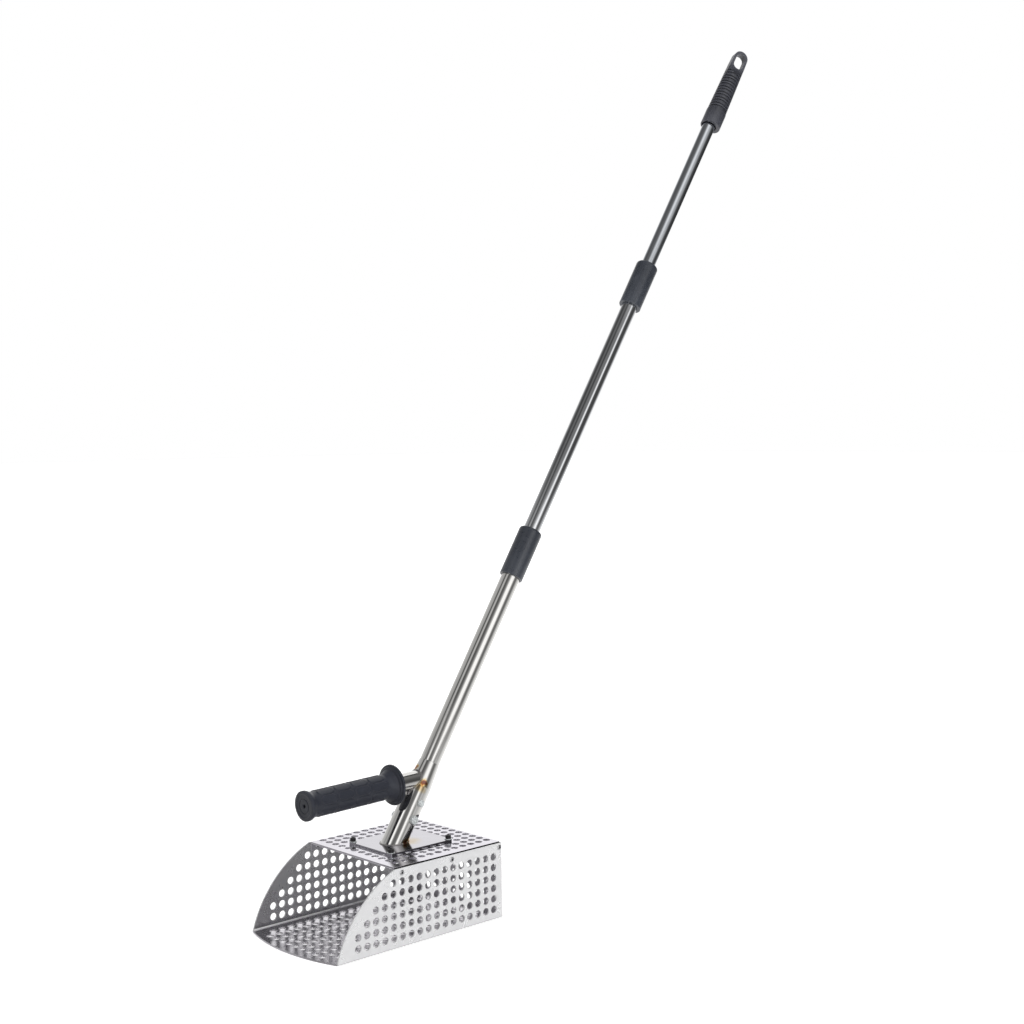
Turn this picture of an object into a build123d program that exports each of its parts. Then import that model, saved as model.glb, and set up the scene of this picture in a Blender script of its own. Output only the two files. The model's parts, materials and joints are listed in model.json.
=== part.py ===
from build123d import *
import os
from math import asin, atan2, cos, degrees, hypot, radians, sin, sqrt, tan

os.makedirs("parts", exist_ok=True)

# Beach sand scoop on a telescopic pole. Millimetres, +Z up, mouth towards -Y.
# Origin: centre of the underside of the scoop floor.

# ---- scoop box ----
SCOOP_W = 170.0
SCOOP_L = 252.0
SCOOP_H = 94.0
SHEET = 2.0
COVER_L = 168.0
WALL_TOP = 92.8
SIDE_BULGE = 14.3
LIP_BULGE = 14.7
EDGE_ROUND = 1.4

# ---- perforation, a square grid of round holes ----
PITCH = 13.0
HOLE_R = 4.5
GRID_Y0 = -96.4
GRID_Z0 = 12.4
WALL_ROWS = 6
LAST_COLUMN = 16
FIRST_FLOOR_ROW = -3
HALF_COLUMNS = 5
EDGE_MARGIN = 12.5
COVER_X0 = 1.5
COVER_COLUMNS = range(-6, 6)
COVER_Y0 = -25.7
COVER_ROWS = 12
BACK_X0 = -3.3
BACK_COLUMNS = range(-5, 7)
SCREW_MARGIN = 9.5

# ---- cover flanges and blind rivets ----
FLANGE_T = 1.5
FLANGE_DROP = 9.1
FLANGE_GAP = 0.1
RIVET_Z = 87.1
RIVET_Y = [-31.8, 44.9, 121.6]
RIVET_R = 1.6
RIVET_HEAD_R = 3.2
RIVET_HEAD_H = 1.1
RIVET_PIN_R = 1.0
RIVET_TAIL_R = 2.4
RIVET_TAIL_L = 2.6
FIT_GAP = 0.05

# ---- pole plate and its four cap screws ----
PLATE_W = 82.0
PLATE_Y = (-13.4, 84.6)
PLATE_T = 2.5
PLATE_R = 3.0
SCREW_X = 37.0
SCREW_Y = (-9.4, 80.6)
SCREW_R = 2.0
SCREW_HEAD_R = 3.5
SCREW_HEAD_H = 4.2
SCREW_END_Z = 86.0
HEX_KEY_AF = 3.0
HEX_KEY_DEPTH = 2.2
WASHER_R = 4.6
WASHER_T = 0.9
NUT_AF = 7.0
NUT_H = 3.2

# ---- pole ----
TILT = 32.7
FOOT_Y = 25.6
SOCKET_R = 15.3
SOCKET_BORE_R = 12.55
SOCKET_TAPER_T = 74.0
SOCKET_END_T = 106.0
SOCKET_END_R = 12.9
WELD_LEG = 2.6
LOWER_R = 12.5
LOWER_WALL = 1.0
LOWER_T = (9.0, 400.0)
MIDDLE_R = 11.0
MIDDLE_WALL = 0.8
MIDDLE_T = (350.0, 828.5)
UPPER_R = 9.5
UPPER_WALL = 0.8
UPPER_T = (780.0, 1211.0)
BUSH_L = 14.0
BUSH_GAP = 0.08
BOLT_T = (31.8, 53.8)
BOLT_AF = (10.0, 8.0)
BOLT_HEAD_H = (4.6, 3.5)
BOLT_R = (2.95, 2.45)
BOLT_HOLE_R = (3.0, 2.5)
BOLT_NUT_H = (5.0, 4.0)
BOLT_END_X = (21.6, 20.4)

# ---- twist collars ----
COLLAR_R = 15.5
COLLAR_T = (369.0, 797.5)
COLLAR_L = 70.0
COLLAR_ROUND = 3.5
SKIRT_GAP = 0.3
SKIRT_L = 11.0
LIP_L = 9.0
LIP_GAP = 0.35
THREAD_L = 24.0
COLLET_L = 15.0
COLLET_SLOTS = 4
SLOT_W = 1.6
CAVITY_WALL = 2.0
CAVITY_GAP = 0.1

# ---- side grip on its stub, measured outwards from the pole axis ----
STUB_T = 85.6
STUB_DROOP = 1.6
STUB_R = 11.0
STUB_WALL = 1.5
STUB_END = 176.0
GRIP_S = (47.0, 180.0)
GRIP_BORE_R = 11.05
GRIP_R = 15.2
GRIP_FLANGE_R = 25.0
GRIP_FLANGE_T = 2.6
GRIP_NECK_L = 15.0
GRIP_END_R = 18.0
GRIP_END_HOLE_R = 1.8
PAD_ROWS = 8
PADS_PER_ROW = 4
PAD_START = 66.5
PAD_PITCH = 25.0
PAD_L = 22.5
PAD_W = 10.6
PAD_CUT = 3.6
PAD_H = 0.7

# ---- end grip ----
END_T = (1117.6, 1255.6)
END_R = (14.8, 12.6)
END_BORE_L = 94.0
END_LEAN = (1.2, 1.35)
GROOVE_PAIRS = 7
GROOVE_PITCH = 10.4
GROOVE_SPACING = 4.4
GROOVE_START = 29.0
GROOVE_W = 1.5
GROOVE_DEPTH = 0.8
TONGUE_R = 10.8
TONGUE_T = (88.0, 109.0)
TONGUE_H = 10.4
EYE_W = 15.0
EYE_L = 26.6
EYE_WALL = 4.2
EYE_YAW = -23.0

POLE = Plane(
    origin=(0, FOOT_Y, SCOOP_H + PLATE_T),
    x_dir=(1, 0, 0),
    z_dir=(0, sin(radians(TILT)), cos(radians(TILT))),
)
STUB_ORIGIN = POLE.origin + POLE.z_dir * STUB_T
STUB = Plane(
    origin=STUB_ORIGIN,
    x_dir=(1, 0, 0),
    z_dir=(0, -cos(radians(STUB_DROOP)), -sin(radians(STUB_DROOP))),
)

BACK_Y = SCOOP_L / 2
FRONT_Y = -SCOOP_L / 2
MOUTH_TOP_Y = BACK_Y - COVER_L
INNER_X = SCOOP_W / 2 - SHEET
COVER_X = INNER_X - FLANGE_GAP


def arc_circle(start, end, bulge):
    """Centre and radius of the arc that bulges to the left of start-end."""
    chord = hypot(end[0] - start[0], end[1] - start[1])
    radius = (chord**2 / 4 + bulge**2) / (2 * bulge)
    left = (-(end[1] - start[1]) / chord, (end[0] - start[0]) / chord)
    middle = ((start[0] + end[0]) / 2, (start[1] + end[1]) / 2)
    depth = bulge - radius
    centre = (middle[0] + left[0] * depth, middle[1] + left[1] * depth)
    crown = (middle[0] + left[0] * bulge, middle[1] + left[1] * bulge)
    return centre, radius, crown


def inside_arc(point, circle):
    centre, radius, crown = circle
    return radius - hypot(point[0] - centre[0], point[1] - centre[1]) > EDGE_MARGIN


def perforate(sheet_face, points):
    holes = [Pos(x, y) * Circle(HOLE_R) for x, y in points]
    return sheet_face - holes


def grid_y(column):
    return GRID_Y0 + PITCH * column


def grid_z(row):
    return GRID_Z0 + PITCH * row


def ring(outer, inner, start, end):
    """Tube along local Z between two stations."""
    body = Cylinder(outer, end - start, align=(Align.CENTER, Align.CENTER, Align.MIN))
    bore = Cylinder(inner, end - start, align=(Align.CENTER, Align.CENTER, Align.MIN))
    return Pos(0, 0, start) * (body - bore)


def revolved(points):
    """Solid of revolution about local Z from (radius, station) points."""
    outline = make_face(Polyline(*points, close=True))
    return revolve(Plane.XZ * outline, Axis.Z, 360)


def hexagon(across_flats):
    return RegularPolygon(across_flats / sqrt(3), 6)


def side_wall(side):
    low = (FRONT_Y, 0)
    high = (MOUTH_TOP_Y, WALL_TOP)
    circle = arc_circle(low, high, SIDE_BULGE)
    straight = Polyline(high, (BACK_Y, WALL_TOP), (BACK_Y, 0), low)
    face = make_face([ThreePointArc(low, circle[2], high), straight])
    points = []
    for row in range(WALL_ROWS):
        for column in range(LAST_COLUMN + 1):
            point = (grid_y(column), grid_z(row))
            if point[0] > MOUTH_TOP_Y or inside_arc(point, circle):
                points.append(point)
    face = perforate(face, points)
    face = face - [Pos(y, RIVET_Z) * Circle(RIVET_R + FIT_GAP) for y in RIVET_Y]
    wall = extrude(Plane.YZ.offset(side * INNER_X) * face, amount=side * SHEET)
    outer = wall.faces().sort_by(Axis.X)[-1 if side > 0 else 0]
    bottom = outer.edges().filter_by(Axis.Y).sort_by(Axis.Z)[0]
    back = outer.edges().filter_by(Axis.Z).sort_by(Axis.Y)[-1]
    return fillet([bottom, back], EDGE_ROUND)


def floor_sheet():
    left = (-SCOOP_W / 2, FRONT_Y)
    right = (SCOOP_W / 2, FRONT_Y)
    circle = arc_circle(right, left, LIP_BULGE)
    lip_x = INNER_X
    lip_y = circle[0][1] - sqrt(circle[1] ** 2 - lip_x**2)
    corners = ((lip_x, lip_y), (lip_x, BACK_Y - SHEET), (-lip_x, BACK_Y - SHEET), (-lip_x, lip_y))
    outline = make_face([Polyline(*corners), ThreePointArc(corners[3], circle[2], corners[0])])
    points = []
    for row in range(FIRST_FLOOR_ROW, LAST_COLUMN + 1):
        for column in range(-HALF_COLUMNS, HALF_COLUMNS + 1):
            point = (column * PITCH, grid_y(row))
            if inside_arc(point, circle):
                points.append(point)
    return extrude(perforate(outline, points), amount=SHEET)


def back_wall():
    height = SCOOP_H - SHEET
    face = Pos(0, height / 2) * Rectangle(2 * INNER_X, height)
    points = []
    for column in BACK_COLUMNS:
        for row in range(WALL_ROWS):
            points.append((BACK_X0 + column * PITCH, grid_z(row)))
    return extrude(Plane.XZ.offset(-BACK_Y) * perforate(face, points), amount=SHEET)


def screw_points():
    return [(x, y) for x in (-SCREW_X, SCREW_X) for y in SCREW_Y]


def clear_of_screws(point):
    return all(hypot(point[0] - x, point[1] - y) > SCREW_MARGIN for x, y in screw_points())


def top_cover():
    face = Pos(0, (MOUTH_TOP_Y + BACK_Y) / 2) * RectangleRounded(2 * COVER_X, COVER_L, PLATE_R)
    points = []
    for row in range(COVER_ROWS):
        for column in COVER_COLUMNS:
            point = (COVER_X0 + column * PITCH, COVER_Y0 + row * PITCH)
            if clear_of_screws(point):
                points.append(point)
    face = perforate(face, points)
    face = face - [Pos(x, y) * Circle(SCREW_R + FIT_GAP) for x, y in screw_points()]
    cover = extrude(Pos(0, 0, SCOOP_H - SHEET) * face, amount=SHEET)
    top = cover.faces().sort_by(Axis.Z)[-1]
    sides = top.edges().filter_by(Axis.Y).sort_by(Axis.X)
    return fillet([sides[0], sides[-1]], EDGE_ROUND)


def cover_flange(side):
    start = MOUTH_TOP_Y + PLATE_R
    end = BACK_Y - SHEET
    top = SCOOP_H - SHEET
    strip = Pos(side * (COVER_X - FLANGE_T / 2), (start + end) / 2, top - FLANGE_DROP / 2)
    body = strip * Box(FLANGE_T, end - start, FLANGE_DROP)
    for y in RIVET_Y:
        body = body - Pos(side * COVER_X, y, RIVET_Z) * Rot(0, 90, 0) * Cylinder(RIVET_R + FIT_GAP, 8)
    return body


def rivet(side, y):
    """Blind rivet, head outside the wall, tail inside the flange."""
    head = revolved([
        (RIVET_PIN_R, 0),
        (RIVET_HEAD_R, 0),
        (RIVET_HEAD_R, RIVET_HEAD_H * 0.35),
        (RIVET_HEAD_R * 0.7, RIVET_HEAD_H * 0.85),
        (RIVET_PIN_R, RIVET_HEAD_H),
    ])
    grip = SCOOP_W / 2 - COVER_X + FLANGE_T
    shank = Pos(0, 0, -grip / 2) * Cylinder(RIVET_R, grip)
    tail = Pos(0, 0, -grip - RIVET_TAIL_L / 2) * Cylinder(RIVET_TAIL_R, RIVET_TAIL_L)
    tail = fillet(tail.edges().sort_by(Axis.Z)[0], RIVET_PIN_R)
    body = head + shank + tail
    return Pos(side * SCOOP_W / 2, y, RIVET_Z) * Rot(0, side * 90, 0) * body


def pole_plate():
    length = PLATE_Y[1] - PLATE_Y[0]
    middle = sum(PLATE_Y) / 2
    face = Pos(0, middle) * RectangleRounded(PLATE_W, length, PLATE_R)
    face = face - [Pos(x, y) * Circle(SCREW_R + FIT_GAP) for x, y in screw_points()]
    plate = extrude(Pos(0, 0, SCOOP_H) * face, amount=PLATE_T)
    rim = plate.faces().sort_by(Axis.Z)[-1].outer_wire().edges()
    return chamfer(rim, 0.4)


def cap_screw(x, y):
    seat = SCOOP_H + PLATE_T + WASHER_T
    head = Pos(0, 0, SCREW_HEAD_H / 2) * Cylinder(SCREW_HEAD_R, SCREW_HEAD_H)
    head = fillet(head.edges().sort_by(Axis.Z)[-1], 0.5)
    key = Pos(0, 0, SCREW_HEAD_H - HEX_KEY_DEPTH) * extrude(hexagon(HEX_KEY_AF), amount=HEX_KEY_DEPTH)
    length = seat - SCREW_END_Z
    shank = Pos(0, 0, -length / 2) * Cylinder(SCREW_R, length)
    return Pos(x, y, seat) * (head - key + shank)


def plate_washer(x, y):
    base = SCOOP_H + PLATE_T
    return Pos(x, y, 0) * ring(WASHER_R, SCREW_R + FIT_GAP, base, base + WASHER_T)


def plate_nut(x, y):
    top = SCOOP_H - SHEET
    nut = Pos(0, 0, top - NUT_H) * extrude(hexagon(NUT_AF), amount=NUT_H)
    nut = nut & Pos(0, 0, top - NUT_H) * hex_bevel(NUT_AF, NUT_H)
    bore = Pos(0, 0, top - NUT_H / 2) * Cylinder(SCREW_R + FIT_GAP, NUT_H)
    return Pos(x, y, 0) * (nut - bore)


def hex_bevel(across_flats, height):
    """Round blank whose rim chamfers the corners of a hexagon."""
    corner = across_flats / sqrt(3)
    flat = across_flats / 2 * 0.95
    drop = (corner - flat) * tan(radians(30))
    return revolved([(0, 0), (flat, 0), (corner, drop), (corner, height - drop), (flat, height), (0, height)])


def above_plate(shape):
    """Keep what stands above the plate's top face."""
    block = 200
    return shape & Pos(0, FOOT_Y, SCOOP_H + PLATE_T + block / 2) * Box(block, block, block)


def socket_blank(extra=0.0):
    """Outside of the socket tube, straight and then tapering to its rim."""
    return POLE.location * revolved([
        (0, -SOCKET_R),
        (SOCKET_R + extra, -SOCKET_R),
        (SOCKET_R + extra, SOCKET_TAPER_T),
        (SOCKET_END_R + extra, SOCKET_END_T),
        (0, SOCKET_END_T),
    ])


def pole_socket():
    body = above_plate(socket_blank()) - POLE.location * Cylinder(SOCKET_BORE_R, 3 * SOCKET_END_T)
    return drilled(body)


def foot_weld():
    slope = 1 / cos(radians(TILT))
    bead = Ellipse(SOCKET_R + WELD_LEG, (SOCKET_R + WELD_LEG) * slope)
    base = Pos(0, FOOT_Y, SCOOP_H + PLATE_T) * bead
    body = extrude(base, amount=WELD_LEG, taper=40)
    return body - POLE.location * Cylinder(SOCKET_R, 6 * SOCKET_R)


def bolt_axis(which):
    """The axis of the lower (0) or upper (1) bolt, pointing at +X."""
    return POLE.location * Pos(0, 0, BOLT_T[which]) * Rot(0, 90, 0)


def drilled(tube):
    for which in (0, 1):
        tube = tube - bolt_axis(which) * Cylinder(BOLT_HOLE_R[which], 4 * SOCKET_R)
    return tube


def lower_tube():
    return drilled(POLE.location * ring(LOWER_R, LOWER_R - LOWER_WALL, *LOWER_T))


def hex_blank(across_flats, height):
    blank = extrude(Rot(0, 0, 30) * hexagon(across_flats), amount=height)
    return blank & hex_bevel(across_flats, height)


def pole_bolt(which):
    head = Pos(0, 0, SOCKET_R) * hex_blank(BOLT_AF[which], BOLT_HEAD_H[which])
    length = SOCKET_R + BOLT_END_X[which]
    shank = Pos(0, 0, SOCKET_R - length / 2) * Cylinder(BOLT_R[which], length)
    shank = chamfer(shank.edges().sort_by(Axis.Z)[0], 0.5)
    return bolt_axis(which) * (head + shank)


def pole_nut(which):
    height = BOLT_NUT_H[which]
    nut = Pos(0, 0, -SOCKET_R - height) * hex_blank(BOLT_AF[which], height)
    return bolt_axis(which) * (nut - Cylinder(BOLT_HOLE_R[which], 4 * SOCKET_R))


def handle_stub():
    body = ring(STUB_R, STUB_R - STUB_WALL, 0, STUB_END)
    return STUB.location * body - socket_blank()


def stub_weld():
    outer = STUB.location * ring(STUB_R + WELD_LEG, STUB_R, 0, 3 * STUB_R)
    return (outer & socket_blank(WELD_LEG)) - socket_blank()


def side_grip():
    near, far = GRIP_S
    rim = near + GRIP_FLANGE_T
    neck = near + GRIP_NECK_L
    waist = far - 12.0
    outline = [
        (GRIP_BORE_R, near),
        (GRIP_FLANGE_R - 0.8, near),
        (GRIP_FLANGE_R, near + 0.8),
        (GRIP_FLANGE_R, rim - 0.6),
        (GRIP_FLANGE_R - 0.6, rim),
        (GRIP_FLANGE_R - 3.0, rim + 0.6),
        (GRIP_FLANGE_R - 3.4, rim + 1.6),
        (GRIP_FLANGE_R - 5.6, rim + 2.6),
        (GRIP_FLANGE_R - 6.0, rim + 3.8),
        (GRIP_R + 1.6, neck - 3.5),
        (GRIP_R, neck),
        (GRIP_R, waist),
        (GRIP_R + 0.5, far - 8.5),
        (GRIP_END_R - 0.3, far - 4.6),
        (GRIP_END_R, far - 3.8),
        (GRIP_END_R, far - 1.0),
        (GRIP_END_R - 0.8, far),
        (GRIP_END_HOLE_R, far),
        (GRIP_END_HOLE_R, STUB_END),
        (GRIP_BORE_R, STUB_END),
    ]
    body = revolved(outline)
    return STUB.location * (body + grip_pads())


def grip_pads():
    """Rows of raised long octagonal pads round the grip."""
    half_l = PAD_L / 2
    half_w = PAD_W / 2
    cut_w = PAD_CUT * 0.75
    quarter = [(half_l, half_w - cut_w), (half_l - PAD_CUT, half_w)]
    outline = quarter + [(-x, y) for x, y in reversed(quarter)]
    outline += [(-x, -y) for x, y in quarter] + [(x, -y) for x, y in reversed(quarter)]
    pad = make_face(Polyline(*outline, close=True))
    prism = extrude(Plane.XY.offset(GRIP_BORE_R + 2) * pad, amount=GRIP_R)
    lying = Rot(0, 90, 0) * prism
    blocks = []
    for row in range(PAD_ROWS):
        turn = Rot(0, 0, 360 / PAD_ROWS * row)
        for step in range(PADS_PER_ROW):
            station = PAD_START + PAD_PITCH * (step + 0.5) - 1.0
            blocks.append(turn * Pos(0, 0, station) * lying)
    last = PAD_START + PAD_PITCH * PADS_PER_ROW
    sleeve = ring(GRIP_R + PAD_H, GRIP_BORE_R + 2.5, PAD_START - 5, last + 5)
    return sleeve & Compound(children=blocks)


def thread_bush(tube_r, inner_r, base):
    """Bush fixed on a tube's end, with a lip that closes over it."""
    outer = tube_r + (COLLAR_R - CAVITY_WALL - CAVITY_GAP - tube_r)
    end = base + SKIRT_L + THREAD_L
    lip_start = end - 4.0
    return revolved([
        (tube_r, base + SKIRT_L + 0.4),
        (outer, base + SKIRT_L + 0.4),
        (outer, end),
        (inner_r + LIP_GAP, end),
        (inner_r + LIP_GAP, lip_start),
        (tube_r, lip_start),
    ])


def collet(inner_r, base):
    """Split clamping ring between the bush and the collar's top lip."""
    start = base + SKIRT_L + THREAD_L + 0.3
    end = start + COLLET_L
    outer = COLLAR_R - CAVITY_WALL - CAVITY_GAP - 0.2
    body = revolved([
        (inner_r + BUSH_GAP, start),
        (outer, start),
        (outer, start + 5.0),
        (outer - 1.0, end),
        (inner_r + BUSH_GAP, end),
    ])
    for slot in range(COLLET_SLOTS):
        turn = Rot(0, 0, 360 / COLLET_SLOTS * slot + 45)
        cut = Pos(COLLAR_R / 2, 0, end - COLLET_L / 2 + 3) * Box(COLLAR_R, SLOT_W, COLLET_L)
        body = body - turn * cut
    return body


def collar(tube_r, inner_r, base):
    """Twist nut: skirt over the lower tube, lip round the inner tube."""
    end = base + COLLAR_L
    cavity = COLLAR_R - CAVITY_WALL
    body = revolved([
        (tube_r + SKIRT_GAP, base),
        (COLLAR_R - 0.3, base),
        (COLLAR_R, base + 0.6),
        (COLLAR_R, end),
        (inner_r + LIP_GAP, end),
        (inner_r + LIP_GAP, end - LIP_L),
        (cavity, end - LIP_L - 2.0),
        (cavity, base + SKIRT_L),
        (tube_r + SKIRT_GAP, base + SKIRT_L),
    ])
    rim = body.edges().filter_by(GeomType.CIRCLE).sort_by(Axis.Z)[-2:]
    return fillet(rim.sort_by(SortBy.RADIUS)[-1], COLLAR_ROUND)


def guide_bush(bore_r, tube_r, start):
    """Plastic bush on the bottom end of a sliding tube."""
    return revolved([
        (tube_r - 3.0, start - 3.0),
        (bore_r - BUSH_GAP - 0.8, start - 3.0),
        (bore_r - BUSH_GAP, start - 2.0),
        (bore_r - BUSH_GAP, start + BUSH_L),
        (tube_r, start + BUSH_L),
        (tube_r, start),
        (tube_r - 3.0, start),
    ])


def grip_body():
    """Round grip with ring grooves, tapering a little towards its far end."""
    base, tip = END_T
    taper_end = base + TONGUE_T[1]
    band = GROOVE_START - 3.0
    body = revolved([
        (0, base),
        (END_R[0] - 0.4, base),
        (END_R[0], base + 0.8),
        (END_R[0], base + band),
        (END_R[0] - 0.5, base + band + 0.8),
        (END_R[1], taper_end),
        (END_R[1], tip),
        (0, tip),
    ])
    slope = (END_R[0] - 0.5 - END_R[1]) / (TONGUE_T[1] - band)
    for pair in range(GROOVE_PAIRS):
        for step in (0, GROOVE_SPACING):
            station = GROOVE_START + GROOVE_PITCH * pair + step
            radius = END_R[0] - 0.5 - slope * (station - band)
            body = body - ring(radius + 2, radius - GROOVE_DEPTH, base + station, base + station + GROOVE_W)
    return body


def tongue_front():
    """Front outline of the grip: straight sides that narrow to a round tip."""
    base, tip = END_T
    wide = 2 * END_R[0]
    neck = base + TONGUE_T[0]
    centre = tip - TONGUE_R
    sides = [(-wide, base), (-wide, neck), (-END_R[1], neck), (-TONGUE_R, centre)]
    outline = sides + [(-x, y) for x, y in reversed(sides)]
    return make_face(Polyline(*outline, close=True)) + Pos(0, centre) * Circle(TONGUE_R)


def tongue_side():
    """Side outline of the grip: the round body thins to a flat tongue."""
    base, tip = END_T
    wide = 2 * END_R[0]
    thin = TONGUE_H / 2
    start, end = base + TONGUE_T[0], base + TONGUE_T[1]
    half = [(wide, base), (wide, start - 4), (END_R[0], start), (thin, end), (thin, tip + 1)]
    outline = half + [(-x, y) for x, y in reversed(half)]
    face = make_face(Polyline(*outline, close=True))
    knees = [v for v in face.vertices() if abs(v.Y - end) < 0.01]
    return fillet(knees, 14)


def end_grip():
    base, tip = END_T
    eye_centre = tip - EYE_WALL - EYE_L / 2
    eye = Pos(0, eye_centre) * SlotOverall(EYE_L, EYE_W, rotation=90)
    depth = 3 * END_R[0]
    turned = Rot(0, 0, EYE_YAW)
    blank = grip_body() & turned * extrude(Plane.YZ * tongue_front(), amount=depth, both=True)
    blank = blank & turned * extrude(Plane.XZ * tongue_side(), amount=depth, both=True)
    blank = blank - turned * extrude(Plane.YZ * eye, amount=depth, both=True)
    blank = Pos(*END_LEAN) * blank
    bore = Pos(0, 0, base + END_BORE_L / 2) * Cylinder(UPPER_R + FIT_GAP, END_BORE_L + 0.8)
    mouth = Pos(0, 0, base + 2) * Cylinder(UPPER_R + 1.5, 4)
    return blank - bore - mouth


def on_pole(shape):
    return POLE.location * shape


def group(solids):
    return Compound(children=list(solids))


def build():
    lower_bore = LOWER_R - LOWER_WALL
    middle_bore = MIDDLE_R - MIDDLE_WALL
    nodes = {
        "floor_sheet": floor_sheet(),
        "left_wall": side_wall(-1),
        "right_wall": side_wall(1),
        "back_wall": back_wall(),
        "top_cover": top_cover(),
        "cover_flange_left": cover_flange(-1),
        "cover_flange_right": cover_flange(1),
        "cover_rivets": group(rivet(side, y) for side in (-1, 1) for y in RIVET_Y),
        "pole_plate": pole_plate(),
        "plate_screws": group(cap_screw(x, y) for x, y in screw_points()),
        "plate_washers": group(plate_washer(x, y) for x, y in screw_points()),
        "plate_nuts": group(plate_nut(x, y) for x, y in screw_points()),
        "pole_socket": pole_socket(),
        "foot_weld": foot_weld(),
        "lower_tube": lower_tube(),
        "pole_bolt_lower": pole_bolt(0),
        "pole_bolt_upper": pole_bolt(1),
        "pole_nut_lower": pole_nut(0),
        "pole_nut_upper": pole_nut(1),
        "handle_stub": handle_stub(),
        "stub_weld": stub_weld(),
        "side_grip": side_grip(),
        "lower_bush": on_pole(thread_bush(LOWER_R, MIDDLE_R, COLLAR_T[0])),
        "lower_collet": on_pole(collet(MIDDLE_R, COLLAR_T[0])),
        "lower_collar": on_pole(collar(LOWER_R, MIDDLE_R, COLLAR_T[0])),
        "middle_tube": on_pole(ring(MIDDLE_R, middle_bore, *MIDDLE_T)),
        "middle_guide": on_pole(guide_bush(lower_bore, MIDDLE_R, MIDDLE_T[0])),
        "upper_bush": on_pole(thread_bush(MIDDLE_R, UPPER_R, COLLAR_T[1])),
        "upper_collet": on_pole(collet(UPPER_R, COLLAR_T[1])),
        "upper_collar": on_pole(collar(MIDDLE_R, UPPER_R, COLLAR_T[1])),
        "upper_tube": on_pole(ring(UPPER_R, UPPER_R - UPPER_WALL, *UPPER_T)),
        "upper_guide": on_pole(guide_bush(middle_bore, UPPER_R, UPPER_T[0])),
        "end_grip": on_pole(end_grip()),
    }
    return nodes


for name, shape in build().items():
    export_step(shape, f"parts/{name}.step")
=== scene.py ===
import json
import math

import bpy
import bmesh
import numpy as np
from mathutils import Matrix, Vector


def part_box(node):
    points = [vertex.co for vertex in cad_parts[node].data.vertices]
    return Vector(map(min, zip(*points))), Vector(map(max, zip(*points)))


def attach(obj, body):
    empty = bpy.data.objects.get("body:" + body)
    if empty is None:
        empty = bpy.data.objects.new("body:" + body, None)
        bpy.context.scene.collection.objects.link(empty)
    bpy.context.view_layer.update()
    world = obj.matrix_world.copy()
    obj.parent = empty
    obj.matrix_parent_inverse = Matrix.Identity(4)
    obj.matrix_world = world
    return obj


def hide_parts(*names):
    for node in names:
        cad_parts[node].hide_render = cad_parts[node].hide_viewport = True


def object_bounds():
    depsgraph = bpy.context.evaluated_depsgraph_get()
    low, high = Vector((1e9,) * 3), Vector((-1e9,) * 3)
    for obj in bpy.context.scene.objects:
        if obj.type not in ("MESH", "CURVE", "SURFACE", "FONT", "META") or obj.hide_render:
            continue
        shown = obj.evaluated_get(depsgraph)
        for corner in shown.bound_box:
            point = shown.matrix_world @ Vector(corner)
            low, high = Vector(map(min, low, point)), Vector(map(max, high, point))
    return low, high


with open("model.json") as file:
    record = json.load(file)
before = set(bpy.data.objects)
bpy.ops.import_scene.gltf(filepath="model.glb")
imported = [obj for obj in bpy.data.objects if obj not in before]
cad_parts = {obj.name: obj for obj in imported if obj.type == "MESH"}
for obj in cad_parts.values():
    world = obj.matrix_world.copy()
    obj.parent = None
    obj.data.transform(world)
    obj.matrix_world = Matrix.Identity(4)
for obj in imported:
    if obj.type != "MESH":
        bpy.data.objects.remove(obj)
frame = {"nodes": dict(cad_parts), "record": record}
CAD_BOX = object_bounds()
NODES = frame["nodes"]
MM = 0.001

# ---- the pole's own frame, from the joints ----
JOINTS = {joint["name"]: joint for joint in frame["record"]["behaviour"]["joints"]}
TWIST = JOINTS["lower_collar_twist"]
AXIS = Vector(TWIST["axis"]).normalized()
ACROSS = Vector((1, 0, 0))
BEHIND = AXIS.cross(ACROSS).normalized()
PLATE_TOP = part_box("pole_plate")[1].z
ON_POLE = Vector(TWIST["pos_m"])
FOOT = ON_POLE - AXIS * ((ON_POLE.z - PLATE_TOP) / AXIS.z)
SOCKET_TAPER = (0.074, 0.106)
SOCKET_END_R = 0.0129
SOCKET_R = (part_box("pole_socket")[1].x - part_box("pole_socket")[0].x) / 2
STUB_R = (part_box("handle_stub")[1].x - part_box("handle_stub")[0].x) / 2


def vertices(node):
    return np.array([v.co for v in NODES[node].data.vertices])


def stations(node, origin, axis):
    """Lowest and highest distance of a CAD node along an axis."""
    along = (vertices(node) - np.array(origin)) @ np.array(axis)
    return float(along.min()), float(along.max())


def frame_matrix(origin, x_dir, z_dir):
    y_dir = z_dir.cross(x_dir).normalized()
    columns = Matrix((x_dir, y_dir, z_dir)).transposed()
    return Matrix.Translation(origin) @ columns.to_4x4()


GRIP_DROOP = math.radians(1.6)
STUB_T = 0.0856
OUT = Vector((0, -math.cos(GRIP_DROOP), -math.sin(GRIP_DROOP)))
STUB_ROOT = FOOT + AXIS * STUB_T
GRIP_FRAME = frame_matrix(STUB_ROOT, ACROSS, OUT)


# ---------------------------------------------------------------- meshes


def new_object(name, verts, faces, matrix=None, smooth_angle=35):
    mesh = bpy.data.meshes.new(name)
    mesh.from_pydata([tuple(v) for v in verts], [], faces)
    mesh.validate()
    mesh.shade_smooth()
    mesh.set_sharp_from_angle(angle=math.radians(smooth_angle))
    obj = bpy.data.objects.new(name, mesh)
    bpy.context.scene.collection.objects.link(obj)
    if matrix is not None:
        obj.matrix_world = matrix
    return obj


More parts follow.
